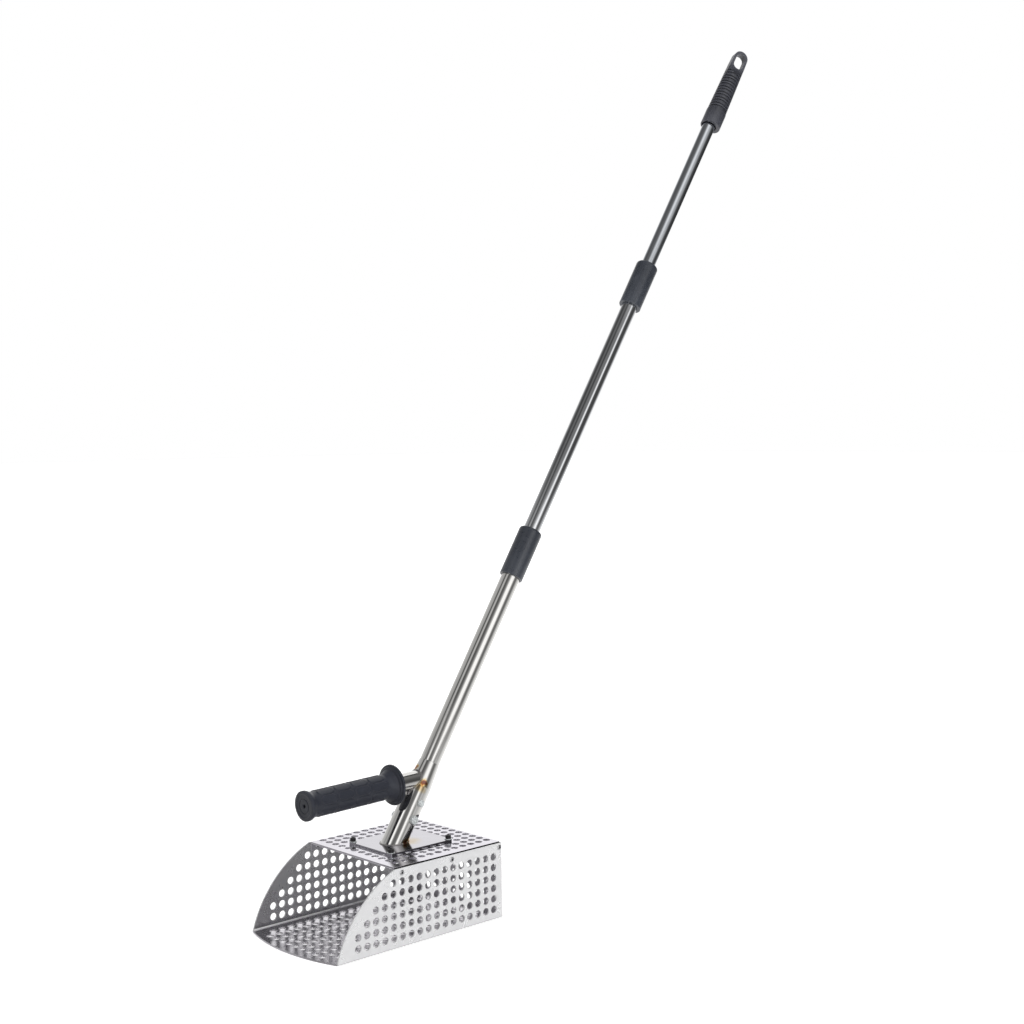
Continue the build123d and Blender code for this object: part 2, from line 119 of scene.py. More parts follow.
def grid_faces(rows, columns):
    """Quads of a grid whose columns wrap round."""
    faces = []
    for i in range(rows - 1):
        for j in range(columns):
            a = i * columns + j
            b = i * columns + (j + 1) % columns
            c = (i + 1) * columns + (j + 1) % columns
            d = (i + 1) * columns + j
            faces.append((a, b, c, d))
    return faces


def lofted(name, rings, matrix=None, capped=False, smooth_angle=35):
    """A skin over rings of points, with a fan over the first and last ring if capped."""
    rings = np.asarray(rings, float)
    rows, columns = rings.shape[:2]
    verts = rings.reshape(-1, 3)
    faces = grid_faces(rows, columns)
    if capped:
        first, last = rings[0].mean(0), rings[-1].mean(0)
        verts = np.vstack([verts, first, last])
        count = rows * columns
        for j in range(columns):
            k = (j + 1) % columns
            faces.append((k, j, count))
            faces.append(((rows - 1) * columns + j, (rows - 1) * columns + k, count + 1))
    return new_object(name, verts, faces, matrix, smooth_angle)


def round_corners(points, radius, steps=4):
    """Round every inner corner of an open (r, z) profile."""
    done = [points[0]]
    for before, corner, after in zip(points, points[1:], points[2:]):
        corner_v = Vector(corner)
        back = Vector(before) - corner_v
        ahead = Vector(after) - corner_v
        reach = min(radius, back.length * 0.45, ahead.length * 0.45)
        start = corner_v + back.normalized() * reach
        end = corner_v + ahead.normalized() * reach
        for k in range(steps + 1):
            s = k / steps
            p = start * (1 - s) ** 2 + corner_v * (2 * s * (1 - s)) + end * s**2
            done.append(tuple(p))
    done.append(points[-1])
    return done


def bead(name, path, radius, ripples, depth, body, node):
    """A weld bead: a round rope along a closed path, with the stacked ripples of a hand weld."""
    path = [Vector(p) for p in path]
    count = len(path)
    sides = 10
    rings = []
    for i, point in enumerate(path):
        along = (path[(i + 1) % count] - path[i - 1]).normalized()
        side = along.orthogonal().normalized()
        up = along.cross(side)
        phase = ripples * i / count
        swell = 1 - depth * (phase % 1.0) ** 2 + 0.08 * math.sin(phase * 1.7)
        ring = []
        for j in range(sides):
            t = 2 * math.pi * j / sides
            ring.append(point + (side * math.cos(t) + up * math.sin(t)) * radius * swell)
        rings.append(ring)
    verts = np.array([[tuple(v) for v in ring] for ring in rings]).reshape(-1, 3)
    obj = new_object(name, verts, twist_free(rings, sides), None, 60)
    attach(obj, body)
    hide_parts(node)
    return obj


def twist_free(rings, sides):
    """Join neighbouring rings by the shift that keeps their points closest."""
    faces = []
    count = len(rings)
    for i in range(count):
        here, there = rings[i], rings[(i + 1) % count]
        shift = min(range(sides), key=lambda s: (there[s] - here[0]).length)
        ahead = (there[(shift + 1) % sides] - here[1]).length
        behind = (there[shift - 1] - here[1]).length
        turn = 1 if ahead < behind else -1
        for j in range(sides):
            k = (j + 1) % sides
            a = i * sides + j
            b = i * sides + k
            c = ((i + 1) % count) * sides + (shift + turn * k) % sides
            d = ((i + 1) % count) * sides + (shift + turn * j) % sides
            faces.append((a, b, c, d))
    return faces


def socket_radius(t):
    start, end = SOCKET_TAPER
    share = min(max((t - start) / (end - start), 0.0), 1.0)
    return SOCKET_R + (SOCKET_END_R - SOCKET_R) * share


def on_socket(t, turn):
    """A point on the socket at a distance along the pole and an angle round it, 0 at +X."""
    side = ACROSS * math.cos(math.radians(turn)) + BEHIND * math.sin(math.radians(turn))
    return FOOT + AXIS * t + side * socket_radius(t)


def stub_path(count=288):
    """Where the stub's outside meets the socket's outside."""
    up = OUT.cross(ACROSS) * -1
    points = []
    for i in range(count):
        t = 2 * math.pi * i / count
        ring = (ACROSS * math.cos(t) + up * math.sin(t)) * (STUB_R + 0.4 * MM)
        sideways = ring.dot(ACROSS)
        behind = ring.dot(BEHIND)
        point = STUB_ROOT + ring
        for _ in range(5):
            radius = socket_radius((point - FOOT).dot(AXIS)) + 0.3 * MM
            reach = math.sqrt(radius**2 - sideways**2)
            point = STUB_ROOT + ring + OUT * ((-reach - behind) / OUT.dot(BEHIND))
        points.append(point)
    return points


def foot_path(count=360):
    """Where the socket's outside meets the plate."""
    points = []
    for i in range(count):
        t = 2 * math.pi * i / count
        ring = (ACROSS * math.cos(t) + BEHIND * math.sin(t)) * (SOCKET_R + 0.3 * MM)
        points.append(FOOT + ring - AXIS * (ring.z / AXIS.z) + Vector((0, 0, 0.3 * MM)))
    return points


# ---- side grip: a lathe profile with raised pads ----
PAD_ROWS = 8
PADS_PER_ROW = 4
PAD_TURN = 0.0
PAD_START = 65.5
PAD_PITCH = 25.0
PAD_RISE = 0.75
GRIP_R = 15.2


def pad_height(s, theta):
    """Height of the raised pads at distance s along the grip and angle theta, in mm."""
    row = theta / (2 * math.pi) * PAD_ROWS + PAD_TURN
    across = (row - np.floor(row) - 0.5) * 2 * math.pi * GRIP_R / PAD_ROWS
    step = (s - PAD_START) / PAD_PITCH
    inside = (step > 0) & (step < PADS_PER_ROW)
    along = (step - np.floor(step) - 0.5) * PAD_PITCH
    half_l, half_w, cut = 11.3, 5.3, 3.6
    side = half_w - np.abs(across)
    end = half_l - np.abs(along)
    corner = (half_l - np.abs(along)) * 0.6 + (half_w - np.abs(across)) * 0.8 - cut * 0.62
    depth = np.minimum(np.minimum(side, end), corner)
    rise = np.clip(depth / 0.5, 0, 1)
    rise = rise * rise * (3 - 2 * rise)
    dish = np.clip((depth - 1.0) / 2.5, 0, 1) * 0.12
    return np.where(inside, PAD_RISE * rise - dish, 0)


def side_grip():
    near, far = stations("side_grip", STUB_ROOT, OUT)
    near, far = near / MM, far / MM
    flange = round_corners(
        [
            (11.05, near),
            (25.0, near),
            (25.0, near + 2.8),
            (22.2, near + 3.3),
            (21.6, near + 4.6),
            (19.4, near + 5.3),
            (18.8, near + 6.8),
            (16.9, near + 11.0),
            (GRIP_R, near + 16.0),
            (GRIP_R, near + 18.0),
        ],
        0.9,
    )
    waist = far - 13.0
    body = [(GRIP_R, s) for s in np.arange(near + 18.4, waist, 0.45)]
    end = round_corners(
        [
            (GRIP_R, waist),
            (15.6, far - 9.0),
            (17.5, far - 5.2),
            (18.0, far - 4.0),
            (18.0, far),
            (14.2, far),
            (13.6, far - 0.6),
            (9.6, far - 0.6),
            (9.2, far - 1.2),
            (8.4, far - 1.2),
            (8.0, far - 0.6),
            (2.9, far - 0.6),
            (2.3, far - 1.1),
            (2.3, far - 3.8),
        ],
        0.8,
    )
    profile = np.array(flange + body + end)
    segments = 240
    theta = np.arange(segments) * 2 * math.pi / segments
    s = profile[:, 1][:, None]
    radius = profile[:, 0][:, None] + pad_height(s, theta[None, :]) * (s < waist)
    rings = np.stack([radius * np.cos(theta), radius * np.sin(theta), s + 0 * radius], -1) * MM
    obj = lofted("rubber_grip", rings, GRIP_FRAME, smooth_angle=50)
    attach(obj, "scoop")
    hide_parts("side_grip")
    return obj


# ---- cap screws with knurled heads and a hexagon recess ----


def hexagon_radius(theta, across_flats, turn=0.0):
    sector = (theta + turn) % (math.pi / 3) - math.pi / 6
    return across_flats / 2 / np.cos(sector)


def cap_screws():
    low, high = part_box("plate_screws")
    washer_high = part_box("plate_washers")[1]
    head_r = 3.5
    seat = washer_high.z / MM
    top = high.z / MM
    screw_x = high.x / MM - head_r
    ys = (low.y / MM + head_r, high.y / MM - head_r)
    segments = 96
    theta = np.arange(segments) * 2 * math.pi / segments
    knurl = 0.11 * np.cos(theta * 24)
    objs = []
    for index, (x, y) in enumerate([(x, y) for x in (-screw_x, screw_x) for y in ys]):
        turn = index * 0.7
        levels = [
            (low.z / MM, 1.6 + 0 * theta),
            (low.z / MM + 0.5, 2.0 + 0 * theta),
            (seat, 2.0 + 0 * theta),
            (seat, head_r - 0.25 + 0 * theta),
            (seat + 0.3, head_r - 0.1 + knurl),
            (top - 0.75, head_r - 0.1 + knurl),
            (top - 0.45, head_r - 0.15 + 0 * theta),
            (top - 0.12, head_r - 0.4 + 0 * theta),
            (top, head_r - 0.8 + 0 * theta),
            (top, hexagon_radius(theta, 3.3, turn)),
            (top - 0.15, hexagon_radius(theta, 3.0, turn)),
            (top - 2.1, hexagon_radius(theta, 3.0, turn)),
            (top - 2.3, 0.6 * hexagon_radius(theta, 3.0, turn)),
        ]
        rings = [
            np.stack([x + r * np.cos(theta), y + r * np.sin(theta), z + 0 * theta], -1) * MM
            for z, r in levels
        ]
        obj = lofted(f"cap_screw_{index + 1}", rings, capped=True, smooth_angle=40)
        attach(obj, "scoop")
        objs.append(obj)
    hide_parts("plate_screws")
    return objs


# ---------------------------------------------------------------- materials


def add(tree, kind, inputs=None, **settings):
    node = tree.nodes.new("ShaderNode" + kind)
    for key, value in settings.items():
        setattr(node, key, value)
    for key, value in (inputs or {}).items():
        if isinstance(value, bpy.types.NodeSocket):
            tree.links.new(value, node.inputs[key])
        else:
            node.inputs[key].default_value = value
    return node


def new_material(name, **constants):
    """An empty Principled material; constants are set straight on the shader's sockets."""
    mat = bpy.data.materials.new(name)
    mat.use_nodes = True
    tree = mat.node_tree
    tree.nodes.clear()
    shader = add(tree, "BsdfPrincipled")
    for key, value in constants.items():
        shader.inputs[key.replace("_", " ")].default_value = value
    out = add(tree, "OutputMaterial")
    tree.links.new(shader.outputs[0], out.inputs["Surface"])
    return mat, tree, shader


def coordinates(tree, rotation=(0, 0, 0), scale=(1, 1, 1)):
    """Object coordinates in millimetres, turned and stretched."""
    source = add(tree, "TexCoord").outputs["Object"]
    turned = add(tree, "Mapping", {"Vector": source, "Rotation": rotation}, vector_type="TEXTURE")
    size = tuple(1000 * s for s in scale)
    return add(tree, "VectorMath", {0: turned.outputs[0], 1: size}, operation="MULTIPLY").outputs[0]


def noise(tree, vector, scale, detail=3.0, roughness=0.55, distortion=0.0):
    inputs = {"Vector": vector, "Scale": scale, "Detail": detail}
    inputs.update({"Roughness": roughness, "Distortion": distortion})
    return add(tree, "TexNoise", inputs).outputs["Fac"]


def ramp(tree, value, stops):
    """A colour ramp; each stop is (position, grey or colour)."""
    node = add(tree, "ValToRGB", {"Fac": value})
    elements = node.color_ramp.elements
    while len(elements) < len(stops):
        elements.new(0.5)
    for element, (position, colour) in zip(elements, stops):
        element.position = position
        element.color = (*colour, 1) if isinstance(colour, tuple) else (colour, colour, colour, 1)
    return node.outputs["Color"]


def mix(tree, factor, a, b, blend="MIX"):
    node = add(tree, "Mix", data_type="RGBA", blend_type=blend)
    for socket, value in ((node.inputs[0], factor), (node.inputs[6], a), (node.inputs[7], b)):
        if isinstance(value, bpy.types.NodeSocket):
            tree.links.new(value, socket)
        elif socket.type == "RGBA":
            socket.default_value = (*value, 1)
        else:
            socket.default_value = value
    return node.outputs[2]


def map_range(tree, value, low, high, to_low=0.0, to_high=1.0):
    inputs = {"Value": value, "From Min": low, "From Max": high, "To Min": to_low, "To Max": to_high}
    return add(tree, "MapRange", inputs, interpolation_type="SMOOTHSTEP").outputs[0]


def bump(tree, shader, height, strength, distance, edge=0.0):
    """Bump, over edges softened by a small round."""
    inputs = {"Height": height, "Strength": strength, "Distance": distance}
    if edge:
        inputs["Normal"] = add(tree, "Bevel", {"Radius": edge}, samples=4).outputs[0]
    tree.links.new(add(tree, "Bump", inputs).outputs[0], shader.inputs["Normal"])


def near_point(tree, point, low, high):
    """1 at a point, fading out between two distances in metres."""
    place = add(tree, "TexCoord").outputs["Object"]
    gap = add(tree, "VectorMath", {0: place, 1: tuple(point)}, operation="DISTANCE").outputs["Value"]
    wobble = noise(tree, place, 90.0, 2.0)
    shift = map_range(tree, wobble, 0.2, 0.8, -0.003, 0.003)
    gap = add(tree, "Math", {0: gap, 1: shift}, operation="ADD").outputs[0]
    return map_range(tree, gap, high, low)


TINT = [
    (0.0, (1.0, 1.0, 1.0)), (0.25, (0.98, 0.86, 0.62)), (0.5, (0.80, 0.52, 0.26)), (0.75, (0.46, 0.20, 0.12)),
    (1.0, (0.24, 0.13, 0.14)),
]


def tinted(tree, colour, heat):
    """Heat colours round each (point, inner, outer, strength)."""
    for point, low, high, strength in heat:
        near = near_point(tree, point, low, high)
        near = add(tree, "Math", {0: near, 1: strength}, operation="MULTIPLY").outputs[0]
        colour = mix(tree, 1.0, colour, ramp(tree, near, TINT), "MULTIPLY")
    return colour


def axis_part(tree, index, absolute=False):
    """One object coordinate, in metres."""
    place = add(tree, "SeparateXYZ", {0: add(tree, "TexCoord").outputs["Object"]}).outputs[index]
    return add(tree, "Math", {0: place}, operation="ABSOLUTE").outputs[0] if absolute else place


def polished_steel(name, tone, roughness, heat=()):
    """Mirror-polished tube: fine lines along the pole, faint smears and heat colours at the welds."""
    mat, tree, shader = new_material(name, Metallic=1.0)
    lean = math.atan2(AXIS.y, AXIS.z)
    along = coordinates(tree, rotation=(-lean, 0, 0), scale=(1, 1, 0.012))
    lines = noise(tree, along, 2.2, 4.0)
    smears = noise(tree, coordinates(tree), 0.035, 4.0, 0.6, 0.4)
    colour = mix(tree, map_range(tree, smears, 0.3, 0.75), tuple(0.93 * t for t in tone), tone)
    tree.links.new(tinted(tree, colour, heat), shader.inputs["Base Color"])
    rough = map_range(tree, smears, 0.35, 0.8, roughness, roughness * 1.8)
    tree.links.new(rough, shader.inputs["Roughness"])
    bump(tree, shader, lines, 0.12, 0.00003, 0.0004)
    return mat


def sheet_steel(name, tone, roughness, turn=0.0, heat=(), metallic=1.0, darken=None, inside=None):
    """Satin sheet: rolling grain, cloudy handling marks, a few scratches, edges rounded by the punch.

    darken(tree) gives a 0 to 1 mask of shaded joints; inside(tree) one of the inner side, which is painted
    darker as shade, with a thin painted highlight along its foot.
    """
    mat, tree, shader = new_material(name, Metallic=metallic)
    grain_at = coordinates(tree, rotation=(0, 0, turn), scale=(1, 0.02, 1))
    grain = noise(tree, grain_at, 3.5, 5.0, 0.65)
    clouds = noise(tree, coordinates(tree), 0.022, 5.0, 0.6, 0.6)
    scratch_at = coordinates(tree, rotation=(0.3, 0.2, 0.6 + turn), scale=(1, 0.008, 1))
    scratches = map_range(tree, noise(tree, scratch_at, 1.1, 2.0), 0.70, 0.76)
    colour = mix(tree, map_range(tree, clouds, 0.3, 0.7), tuple(0.92 * t for t in tone), tone)
    colour = mix(tree, map_range(tree, grain, 0.3, 0.7, 0.0, 0.2), colour, tuple(0.82 * t for t in tone))
    colour = tinted(tree, colour, heat)
    # Painted shade and highlight: the inner side is painted darker, and a thin strip along its foot is
    # painted near-white and less metallic, as the highlight of a bend.
    if inside:
        mask = inside(tree)
        colour = mix(tree, mask, colour, tuple(0.80 * t for t in tone))
        painted_fold_highlight = map_range(tree, axis_part(tree, 2), 0.0036, 0.0030)
        painted_fold_highlight = add(tree, "Math", {0: mask, 1: painted_fold_highlight}, operation="MULTIPLY").outputs[0]
        colour = mix(tree, painted_fold_highlight, colour, (0.95, 0.95, 0.95))
        shine = map_range(tree, mask, 0, 1, metallic, 1.0)
        shine = add(tree, "Math", {0: shine, 1: painted_fold_highlight}, operation="SUBTRACT").outputs[0]
        tree.links.new(shine, shader.inputs["Metallic"])
    # Painted shade: where the darken mask is set, the sheet is painted near-black.
    if darken:
        colour = mix(tree, darken(tree), colour, tuple(0.10 * t for t in tone))
    tree.links.new(colour, shader.inputs["Base Color"])
    rough = map_range(tree, clouds, 0.25, 0.8, roughness * 0.85, roughness * 1.2)
    scratched = map_range(tree, scratches, 0, 1, 0, 0.02)
    rough = add(tree, "Math", {0: rough, 1: scratched}, operation="ADD").outputs[0]
    tree.links.new(rough, shader.inputs["Roughness"])
    height = add(tree, "Math", {0: scratches, 1: -0.12, 2: grain}, operation="MULTIPLY_ADD").outputs[0]
    bump(tree, shader, height, 0.12, 0.00005, 0.0005)
    return mat


# Mask of the walls' inner faces, which are painted darker as shade.
def wall_shaded_inside(tree):
    return map_range(tree, axis_part(tree, 0, True), 0.0834, 0.0831)


def wall_edges(tree):
    """The top edge of a wall, in the shadow of the cover, and thin lines at its bottom and back edges."""
    inner = map_range(tree, axis_part(tree, 0, True), 0.0846, 0.0838)
    top = map_range(tree, axis_part(tree, 2), 0.0922, 0.0926)
    joint = add(tree, "Math", {0: inner, 1: top}, operation="MULTIPLY").outputs[0]
    bottom = map_range(tree, axis_part(tree, 2), 0.0014, 0.0008, 0.0, 0.45)
    back = map_range(tree, axis_part(tree, 1), 0.1248, 0.1254, 0.0, 0.45)
    line = add(tree, "Math", {0: bottom, 1: back}, operation="MAXIMUM").outputs[0]
    return add(tree, "Math", {0: joint, 1: line}, operation="MAXIMUM").outputs[0]


# Painted shade: the cover's outermost edge, beside the wall top, is painted dark as the shadow in the joint.
def cover_joint_shade(tree):
    return map_range(tree, axis_part(tree, 0, True), 0.0819, 0.0823)


def moulded(name, tone, roughness, grain, edge, sheen=0.0, ior=1.48):
    """Moulded plastic or rubber: pebbled skin, cloudy dust, paler worn edges, and painted shade in the
    hollows.
    """
    mat, tree, shader = new_material(name, Metallic=0.0, IOR=ior, Sheen_Weight=sheen, Sheen_Roughness=0.4)
    place = coordinates(tree)
    pebble = noise(tree, place, grain, 3.0, 0.6)
    clouds = noise(tree, place, 0.05, 5.0, 0.65, 0.8)
    pointy = add(tree, "NewGeometry").outputs["Pointiness"]
    worn = map_range(tree, pointy, 0.515, 0.58)
    # Painted shade: hollow places, found by low pointiness, are painted darker.
    painted_hollow_shade = map_range(tree, pointy, 0.485, 0.42, 0.0, 0.7)
    dusty = tuple(min(1.0, 1.9 * t + 0.012) for t in tone)
    colour = mix(tree, map_range(tree, clouds, 0.4, 0.8, 0.0, 0.3), tone, dusty)
    colour = mix(tree, map_range(tree, worn, 0, 1, 0.0, 0.8), colour, dusty)
    colour = mix(tree, painted_hollow_shade, colour, tuple(0.3 * t for t in tone))
    tree.links.new(colour, shader.inputs["Base Color"])
    rough = map_range(tree, clouds, 0.25, 0.75, roughness * 0.88, roughness * 1.12)
    tree.links.new(rough, shader.inputs["Roughness"])
    bump(tree, shader, pebble, 0.15, 0.0001, edge)
    return mat


def plated(name, tone, roughness, metallic=1.0, recess=None):
    """Small hardware: plated or blackened, with handling marks."""
    mat, tree, shader = new_material(name, Metallic=metallic)
    place = coordinates(tree)
    patches = noise(tree, place, 0.5, 4.0, 0.6)
    dark = tuple(0.7 * t for t in tone)
    colour = mix(tree, map_range(tree, patches, 0.3, 0.7), dark, tone)
    # Painted shade: a recess, if given, is painted near-black.
    if recess:
        colour = mix(tree, recess(tree), colour, (0.02, 0.02, 0.02))
    tree.links.new(colour, shader.inputs["Base Color"])
    rough = map_range(tree, patches, 0.3, 0.75, roughness * 0.8, roughness * 1.25)
    tree.links.new(rough, shader.inputs["Roughness"])
    bump(tree, shader, noise(tree, place, 3.0, 3.0), 0.2, 0.00005, 0.0003)
    return mat


RIVET_FRONT = 0.0318
RIVET_HALF_GAP = 0.03835
RIVET_UP = 0.0871


def rivet_hole_shade(tree):
    """The pin hole in the middle of each rivet head, painted near-black as the shade inside it."""
    along = add(tree, "Math", {0: axis_part(tree, 1), 1: RIVET_FRONT}, operation="ADD").outputs[0]
    span = {0: along, 1: RIVET_HALF_GAP, 2: -RIVET_HALF_GAP}
    along = add(tree, "Math", span, operation="WRAP").outputs[0]
    up = add(tree, "Math", {0: axis_part(tree, 2), 1: RIVET_UP}, operation="SUBTRACT").outputs[0]
    place = add(tree, "CombineXYZ", {0: along, 1: up}).outputs[0]
    gap = add(tree, "VectorMath", {0: place}, operation="LENGTH").outputs["Value"]
    return map_range(tree, gap, 0.0014, 0.0011)


def weld_metal(name, heat):
    """Weld bead: bright steel ripples, with brown and violet oxide where it ran hottest."""
    mat, tree, shader = new_material(name, Metallic=1.0)
    place = coordinates(tree)
    bands = noise(tree, place, 0.22, 3.0, 0.6, 0.5)
    oxide = [(0.3, (0.42, 0.41, 0.42)), (0.5, (0.60, 0.58, 0.56)), (0.7, (0.38, 0.36, 0.36))]
    colour = ramp(tree, bands, oxide)
    tree.links.new(tinted(tree, colour, heat), shader.inputs["Base Color"])
    tree.links.new(map_range(tree, bands, 0.2, 0.8, 0.2, 0.42), shader.inputs["Roughness"])
    bump(tree, shader, noise(tree, place, 1.2, 4.0), 0.4, 0.0001)
    return mat


def assign(mat, *names):
    for name in names:
        obj = NODES[name] if isinstance(name, str) else name
        obj.data.materials.clear()
        obj.data.materials.append(mat)


# ---------------------------------------------------------------- build

GRIP = side_grip()
SCREWS = cap_screws()
STUB_BEAD = bead("stub_weld_bead", stub_path(), 1.1 * MM, 44, 0.22, "scoop", "stub_weld")
FOOT_BEAD = bead("foot_weld_bead", foot_path(), 0.9 * MM, 62, 0.22, "scoop", "foot_weld")

stub_heat = (
    (on_socket(0.079, -25), 0.001, 0.0070, 0.95),
    (on_socket(0.072, -27), 0.001, 0.010, 0.38),
    (on_socket(0.093, -108), 0.0005, 0.0050, 0.8),
)
foot_heat = ((on_socket(0.003, 10), 0.0005, 0.005, 0.75), (on_socket(0.0085, 45), 0.0005, 0.006, 0.75))
plate_heat = ((on_socket(0.008, 48), 0.002, 0.022, 0.34),)

WARM = (0.80, 0.79, 0.77)
assign(polished_steel("polished_lower", WARM, 0.045), "lower_tube")
assign(polished_steel("polished_stub", WARM, 0.05, stub_heat), "handle_stub")
assign(polished_steel("polished_socket", WARM, 0.045, stub_heat + foot_heat), "pole_socket")
assign(polished_steel("polished_middle", (0.78, 0.79, 0.81), 0.05), "middle_tube")
assign(polished_steel("polished_upper", (0.75, 0.78, 0.82), 0.055), "upper_tube")

SHEET = (0.84, 0.84, 0.85)
assign(sheet_steel("wall_sheet", SHEET, 0.26, metallic=0.5, darken=wall_edges, inside=wall_shaded_inside),
       "left_wall", "right_wall")
assign(sheet_steel("floor_sheet", (0.68, 0.66, 0.70), 0.15), "floor_sheet")
assign(sheet_steel("back_sheet", (0.60, 0.59, 0.62), 0.28, math.pi / 2), "back_wall")
LAVENDER = (0.66, 0.64, 0.695)
assign(sheet_steel("cover_sheet", LAVENDER, 0.12, darken=cover_joint_shade), "top_cover")
assign(sheet_steel("flange_sheet", LAVENDER, 0.28), "cover_flange_left", "cover_flange_right")
assign(sheet_steel("plate_sheet", (0.50, 0.488, 0.525), 0.085, 0.0, plate_heat), "pole_plate")
assign(plated("rivet_alloy", (0.80, 0.80, 0.82), 0.3, recess=rivet_hole_shade), "cover_rivets")
assign(plated("zinc_plate", (0.84, 0.88, 0.885), 0.3, 0.55), "pole_bolt_lower", "pole_bolt_upper",
       "pole_nut_lower", "pole_nut_upper", "plate_washers", "plate_nuts")
assign(plated("black_oxide", (0.030, 0.029, 0.031), 0.42, 0.3), *SCREWS)
assign(weld_metal("weld_oxide", stub_heat + foot_heat), STUB_BEAD, FOOT_BEAD)

assign(moulded("grip_rubber", (0.018, 0.020, 0.028), 0.42, 2.6, 0.0002, 0.03), GRIP)
assign(moulded("collar_plastic", (0.021, 0.024, 0.031), 0.28, 1.7, 0.0004, ior=1.6),
       "lower_collar", "upper_collar")
assign(moulded("grip_plastic", (0.021, 0.022, 0.028), 0.3, 1.7, 0.0006, ior=1.6), "end_grip")
assign(moulded("bush_plastic", (0.03, 0.03, 0.03), 0.5, 2.2, 0.0003),
       "lower_bush", "upper_bush", "lower_collet", "upper_collet", "middle_guide", "upper_guide")


# ---------------------------------------------------------------- stage


def make_floor():
    bm = bmesh.new()
    bmesh.ops.create_grid(bm, x_segments=24, y_segments=24, size=30)
    mesh = bpy.data.meshes.new("floor")
    bm.to_mesh(mesh)
    bm.free()
    floor = bpy.data.objects.new("floor", mesh)
    bpy.context.scene.collection.objects.link(floor)
    floor.location.z = CAD_BOX[0].z - 0.0004
    mat, tree, shader = new_material("pale_floor", Roughness=0.7, Emission_Strength=1.0)
    place = add(tree, "TexCoord").outputs["Object"]
    away = add(tree, "VectorMath", {0: place}, operation="LENGTH").outputs["Value"]
    glow = map_range(tree, away, 0.5, 2.5, 0.42, 0.95)
    tree.links.new(glow, shader.inputs["Emission Color"])
    mottle = noise(tree, coordinates(tree), 0.004, 3.0)
    colour = mix(tree, mottle, (0.80, 0.80, 0.80), (0.84, 0.84, 0.84))
    tree.links.new(colour, shader.inputs["Base Color"])
    floor.data.materials.append(mat)
    floor.visible_glossy = False


# The surround is strips of light and dark that run along the pole. Each strip is (place, brightness), the
# place being where a tube shows it: -1 at its left edge, 1 at its right edge. The strips change with the
# angle that a reflection makes with the pole: steeper ones serve the tubes further up.
FOOT_STRIPS = [
    (-0.99, 1.0), (-0.93, 0.65), (-0.80, 0.52), (-0.70, 0.33), (-0.62, 0.47), (-0.55, 0.20), (-0.45, 0.10),
    (-0.38, 0.20), (-0.34, 1.25), (-0.26, 1.25), (-0.21, 0.45), (-0.13, 0.15), (0.02, 0.16), (0.11, 0.30),
    (0.16, 1.2), (0.25, 1.2), (0.32, 0.55), (0.40, 0.28),
    (0.50, 0.60), (0.62, 0.50), (0.75, 0.70), (0.86, 0.90),
    (0.96, 1.15),
]
LOW_STRIPS = [
    (-0.99, 1.0), (-0.93, 0.70), (-0.84, 0.50), (-0.66, 0.46), (-0.59, 0.12), (-0.51, 0.12), (-0.46, 0.50),
    (-0.36, 0.60), (-0.28, 0.11), (-0.16, 0.13), (-0.05, 0.26), (0.04, 0.65), (0.12, 1.25), (0.34, 1.25),
    (0.41, 0.50), (0.48, 0.18), (0.60, 0.17), (0.68, 0.30), (0.77, 0.65), (0.86, 0.95), (0.96, 1.15),
]
MIDDLE_STRIPS = [
    (-0.99, 1.0), (-0.94, 0.60), (-0.86, 0.24), (-0.76, 0.09), (-0.64, 0.06), (-0.5, 0.15), (-0.42, 0.17),
    (-0.34, 0.07), (-0.24, 0.08), (-0.12, 0.21), (0.08, 0.19), (0.17, 0.40), (0.22, 1.1), (0.30, 1.1),
    (0.37, 0.28), (0.44, 0.08), (0.70, 0.06), (0.78, 0.14), (0.86, 0.60), (0.95, 1.1),
]
STEEP_STRIPS = [
    (-0.990, 1.2), (-0.95, 0.60), (-0.86, 0.26), (-0.75, 0.11), (-0.6, 0.11), (-0.4, 0.14), (-0.3, 0.17),
    (-0.2, 0.36), (-0.1, 0.78), (0.0, 0.95), (0.1, 0.82),
    (0.2, 0.56), (0.35, 0.44), (0.44, 0.28), (0.52, 0.10),
    (0.7, 0.04), (0.9, 0.045), (0.965, 0.12), (0.990, 1.2),
]
BRIGHTEST = 1.25
VIEW_TURN = -40.5


def strips(tree, share, stops):
    """One set of strips, as a colour ramp round the pole."""
    return ramp(tree, share, [(0.5 + math.asin(x) / math.pi, min(v / BRIGHTEST, 1.0)) for x, v in stops])


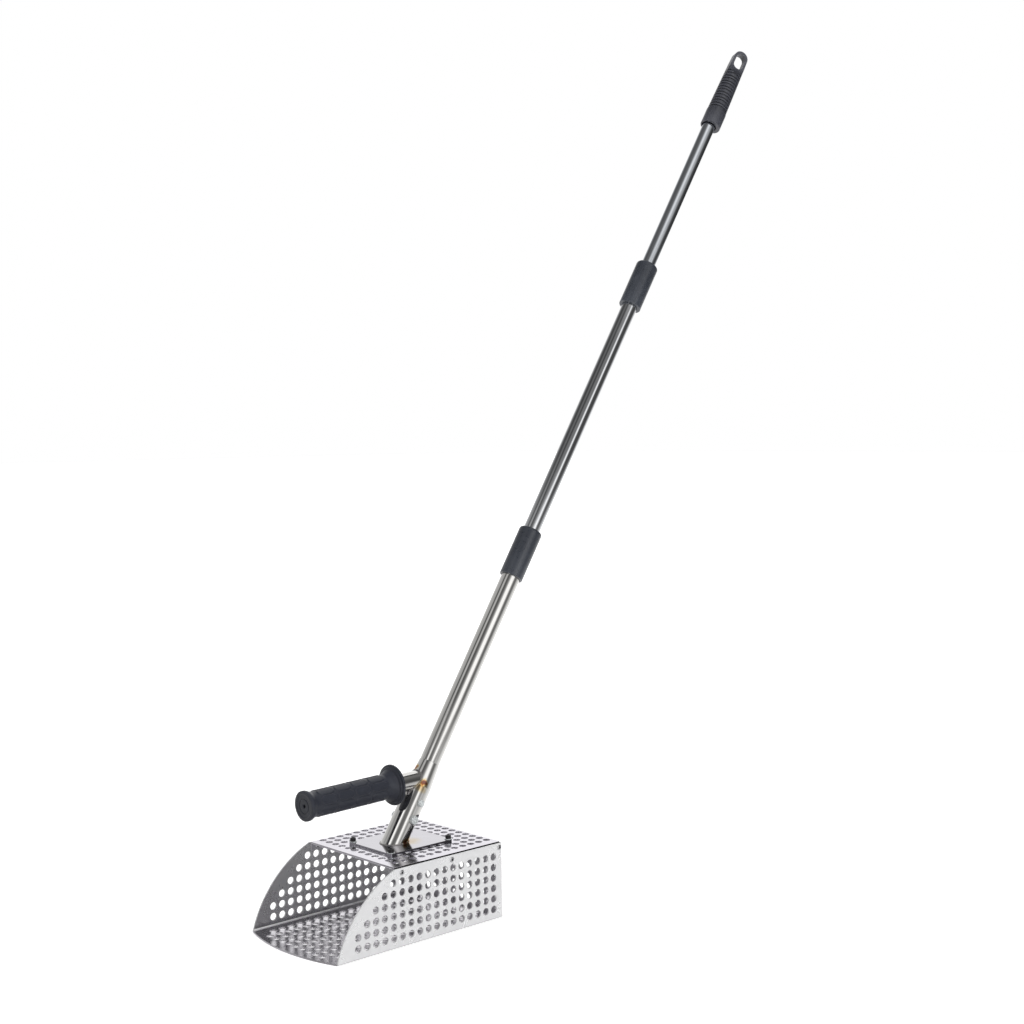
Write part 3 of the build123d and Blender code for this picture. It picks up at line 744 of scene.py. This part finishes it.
def make_world():
    """Soft studio surround: long soft lights that run along the pole, white behind the object."""
    world = bpy.data.worlds.new("studio")
    bpy.context.scene.world = world
    world.use_nodes = True
    tree = world.node_tree
    tree.nodes.clear()
    direction = add(tree, "TexCoord").outputs["Generated"]
    parts = [
        add(tree, "VectorMath", {0: direction, 1: tuple(v)}, operation="DOT_PRODUCT").outputs["Value"]
        for v in (ACROSS, BEHIND, AXIS)
    ]
    angle = add(tree, "Math", {0: parts[1], 1: parts[0]}, operation="ARCTAN2").outputs[0]
    start = math.radians(VIEW_TURN) - math.pi
    turned = add(tree, "Math", {0: angle, 1: start}, operation="SUBTRACT").outputs[0]
    wrapped = add(tree, "Math", {0: turned, 1: 2 * math.pi, 2: 0.0}, operation="WRAP").outputs[0]
    share = add(tree, "Math", {0: wrapped, 1: 2 * math.pi}, operation="DIVIDE").outputs[0]
    colour = mix(tree, map_range(tree, parts[2], 0.15, 0.21), strips(tree, share, FOOT_STRIPS),
                 strips(tree, share, LOW_STRIPS))
    colour = mix(tree, map_range(tree, parts[2], 0.28, 0.38), colour, strips(tree, share, MIDDLE_STRIPS))
    colour = mix(tree, map_range(tree, parts[2], 0.44, 0.52), colour, strips(tree, share, STEEP_STRIPS))
    surround = add(tree, "Background", {"Color": colour, "Strength": BRIGHTEST})
    white = add(tree, "Background", {"Color": (1, 1, 1, 1), "Strength": 1.0})
    seen = add(tree, "LightPath").outputs["Is Camera Ray"]
    choose = add(tree, "MixShader", {0: seen, 1: surround.outputs[0], 2: white.outputs[0]})
    out = add(tree, "OutputWorld")
    tree.links.new(choose.outputs[0], out.inputs["Surface"])


def soft_light(name, location, target, size, power):
    data = bpy.data.lights.new(name, "AREA")
    data.shape = "RECTANGLE"
    data.size, data.size_y = size
    data.energy = power
    light = bpy.data.objects.new(name, data)
    light.location = location
    light.rotation_euler = (Vector(target) - Vector(location)).to_track_quat("-Z", "Y").to_euler()
    light.visible_glossy = False
    bpy.context.scene.collection.objects.link(light)


CAMERA_PLACE = (1.4715, -1.1492, 0.5965)
CAMERA_TURN = (46.885, 2.976, -0.604)
CAMERA_LENS = 54.63


def make_camera():
    yaw, pitch, roll = (math.radians(angle) for angle in CAMERA_TURN)
    forward = Vector((-math.sin(yaw) * math.cos(pitch), math.cos(yaw) * math.cos(pitch), -math.sin(pitch)))
    right = Vector((math.cos(yaw), math.sin(yaw), 0))
    up = right.cross(forward)
    turned_right = right * math.cos(roll) + up * math.sin(roll)
    turned_up = up * math.cos(roll) - right * math.sin(roll)
    data = bpy.data.cameras.new("camera")
    data.lens = CAMERA_LENS
    data.sensor_width = 36.0
    camera = bpy.data.objects.new("camera", data)
    columns = Matrix((turned_right, turned_up, -forward)).transposed()
    camera.matrix_world = Matrix.Translation(CAMERA_PLACE) @ columns.to_4x4()
    bpy.context.scene.collection.objects.link(camera)
    bpy.context.scene.camera = camera


make_floor()
make_world()
soft_light("overhead", (-0.3, -0.3, 3.0), (0, 0.1, 0.1), (2.2, 2.2), 60)
soft_light("right_fill", (3.2, 0.6, 1.0), (0.08, 0, 0.05), (2.0, 1.6), 60)
make_camera()
bpy.context.scene.view_settings.view_transform = "Standard"
